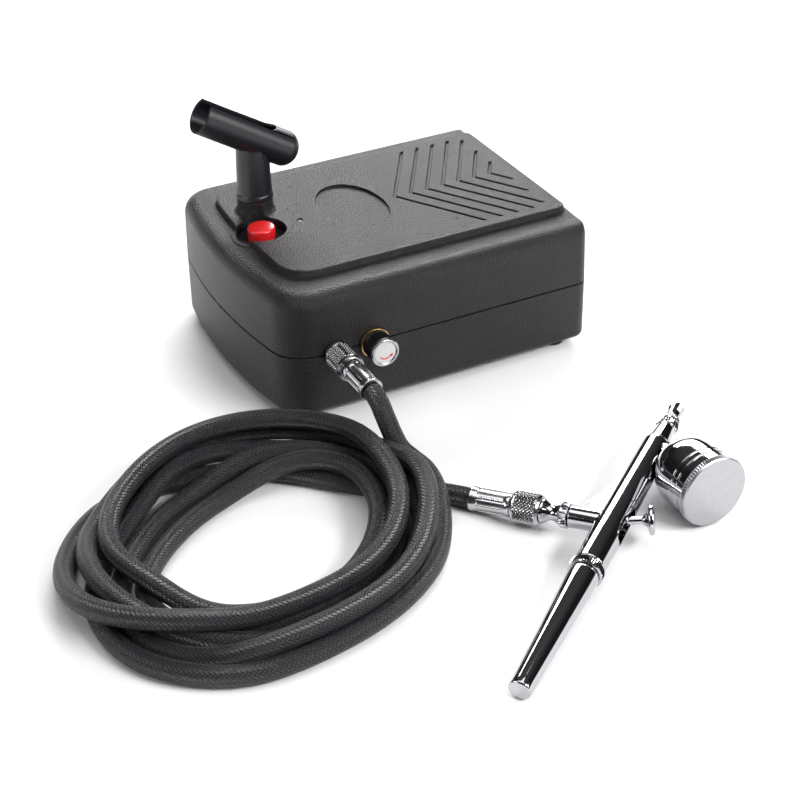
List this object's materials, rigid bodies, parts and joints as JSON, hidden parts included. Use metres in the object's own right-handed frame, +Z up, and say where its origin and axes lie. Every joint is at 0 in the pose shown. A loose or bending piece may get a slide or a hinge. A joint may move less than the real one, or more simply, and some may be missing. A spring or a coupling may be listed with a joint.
{
  "type": "airbrush compressor",
  "caption": "Mini airbrush compressor in a moulded casing, with push button, pressure knob, airbrush holder, braided hose and a gravity-feed airbrush.",
  "frame": {"origin": "bottom centre of the compressor's bounding box, without the hose and what is on it, on the surface that the feet stand on", "axes": "+X towards the side with the hose outlet and the pressure knob, +Y from the curved front with the button to the back, +Z up"},
  "size_m": [0.2789, 0.242, 0.1063],
  "materials": {
    "casing_black": "moulded ABS with a fine pebbled grain",
    "satin_black": "smooth satin ABS",
    "black_rubber": "matt moulded rubber",
    "button_red": "semi-gloss red plastic",
    "led_red": "tinted translucent plastic light pipe",
    "polished_chrome": "mirror-polished chrome plate",
    "satin_chrome": "satin plated metal, knurled or crimped where gripped",
    "dark_chrome": "dark chrome plate",
    "steel": "plain zinc-plated or ground steel",
    "cast_aluminium": "machined and die-cast aluminium",
    "brass": "turned brass",
    "copper_winding": "enamelled copper winding on a steel core",
    "ferrite": "sintered ferrite",
    "nylon": "natural nylon",
    "circuit_board": "green solder mask",
    "silicone": "milky silicone",
    "braided_nylon": "black braided nylon sleeve over a rubber hose"
  },
  "bodies": {
    "compressor": {"lower_case": "casing_black", "upper_case": "casing_black", "switch_body": "satin_black", "dc_jack": "satin_black", "rubber_foot_1": "black_rubber", "rubber_foot_2": "black_rubber", "rubber_foot_3": "black_rubber", "rubber_foot_4": "black_rubber", "power_led": "led_red", "brush_body": "polished_chrome", "brush_head": "polished_chrome", "handle_ring": "polished_chrome", "paint_cup": "polished_chrome", "hose_neck": "polished_chrome", "brush_ferrule": "satin_chrome", "outlet_ferrule": "satin_chrome", "outlet_fitting": "dark_chrome", "case_screw_1": "steel", "case_screw_2": "steel", "case_screw_3": "steel", "case_screw_4": "steel", "motor_can": "steel", "pump_frame": "steel", "gear_axle": "steel", "cylinder": "cast_aluminium", "cylinder_head": "cast_aluminium", "valve_block": "cast_aluminium", "knob_collar": "brass", "regulator_stem": "brass", "motor_magnets": "ferrite", "motor_end_cap": "nylon", "control_board": "circuit_board", "air_tube": "silicone", "hose_lead": "braided_nylon", "hose_coil": "braided_nylon", "hose_tail": "braided_nylon"},
    "button": {"power_button": "button_red"},
    "knob": {"pressure_knob": "satin_black", "knob_cap": "polished_chrome"},
    "holder": {"airbrush_holder": "satin_black"},
    "rotor": {"motor_shaft": "steel", "motor_pinion": "brass", "motor_armature": "copper_winding"},
    "crank": {"crank_gear": "nylon", "crank_pin": "steel"},
    "rod": {"connecting_rod": "cast_aluminium", "wrist_pin": "steel"},
    "piston": {"piston": "cast_aluminium", "piston_seal": "black_rubber"},
    "outlet_union": {"outlet_nut": "dark_chrome"},
    "brush_union": {"brush_nut": "satin_chrome"},
    "air_valve": {"air_plunger": "brass"},
    "trigger": {"trigger": "polished_chrome"},
    "needle": {"needle": "steel", "needle_chuck": "brass"},
    "lid": {"cup_lid": "satin_chrome"},
    "rear_handle": {"handle": "polished_chrome"},
    "crown": {"needle_cap": "polished_chrome"}
  },
  "joints": [
    {"name": "button_press", "type": "slide", "parent": "compressor", "child": "button", "axis": [0, 0, -1], "range_m": [0, 0.0025], "stiffness_N_per_m": 400},
    {"name": "knob_turn", "type": "hinge", "parent": "compressor", "child": "knob", "pos_m": [0.0535, -0.0275, 0.029], "axis": [1, 0, 0], "range_deg": [-150, 150]},
    {"name": "holder_swivel", "type": "hinge", "parent": "compressor", "child": "holder", "pos_m": [-0.02085, -0.0438, 0.0635], "axis": [0, 0, 1], "range_deg": [-170, 170]},
    {"name": "motor_spin", "type": "hinge", "parent": "compressor", "child": "rotor", "pos_m": [-0.036, 0.028, 0.027], "axis": [0, 1, 0], "continuous": true},
    {"name": "crank_spin", "type": "hinge", "parent": "compressor", "child": "crank", "pos_m": [-0.014, 0.0025, 0.027], "axis": [0, 1, 0], "continuous": true},
    {"name": "rod_pivot", "type": "hinge", "parent": "crank", "child": "rod", "pos_m": [-0.011, -0.0054, 0.027], "axis": [0, 1, 0], "continuous": true},
    {"name": "piston_stroke", "type": "slide", "parent": "compressor", "child": "piston", "axis": [1, 0, 0], "range_m": [-0.006, 0]},
    {"name": "outlet_nut_turn", "type": "hinge", "parent": "compressor", "child": "outlet_union", "pos_m": [0.0565, -0.0435, 0.029], "axis": [1, 0, 0], "continuous": true},
    {"name": "brush_nut_turn", "type": "hinge", "parent": "compressor", "child": "brush_union", "pos_m": [0.14121, -0.01479, 0.00659], "axis": [0.7939, 0.6007, 0.0946], "continuous": true},
    {"name": "air_valve_press", "type": "slide", "parent": "compressor", "child": "air_valve", "axis": [-0.7939, -0.6007, -0.0946], "range_m": [0, 0.0015], "stiffness_N_per_m": 500},
    {"name": "trigger_pull", "type": "hinge", "parent": "air_valve", "child": "trigger", "pos_m": [0.16304, 0.00173, 0.0092], "axis": [0.0345, 0.1109, -0.9932], "range_deg": [0, 28], "stiffness_Nm_per_rad": 0.02},
    {"name": "needle_draw", "type": "slide", "parent": "compressor", "child": "needle", "axis": [0.6071, -0.7918, -0.0673], "range_m": [0, 0.0018]},
    {"name": "lid_lift", "type": "slide", "parent": "compressor", "child": "lid", "axis": [0.9988, 0.031, 0.0381], "range_m": [0, 0.02]},
    {"name": "handle_unscrew", "type": "hinge", "parent": "compressor", "child": "rear_handle", "pos_m": [0.19927, -0.0398, 0.00582], "axis": [-0.6071, 0.7918, 0.0673], "continuous": true},
    {"name": "crown_unscrew", "type": "hinge", "parent": "compressor", "child": "crown", "pos_m": [0.12642, 0.05522, 0.01389], "axis": [-0.6071, 0.7918, 0.0673], "continuous": true}
  ],
  "couplings": [
    {"joint": "crank_spin", "follows": "motor_spin", "ratio": -0.25},
    {"joint": "rod_pivot", "follows": "motor_spin", "ratio": 0.25},
    {"joint": "needle_draw", "follows": "trigger_pull", "m_per_rad": 0.0035}
  ]
}
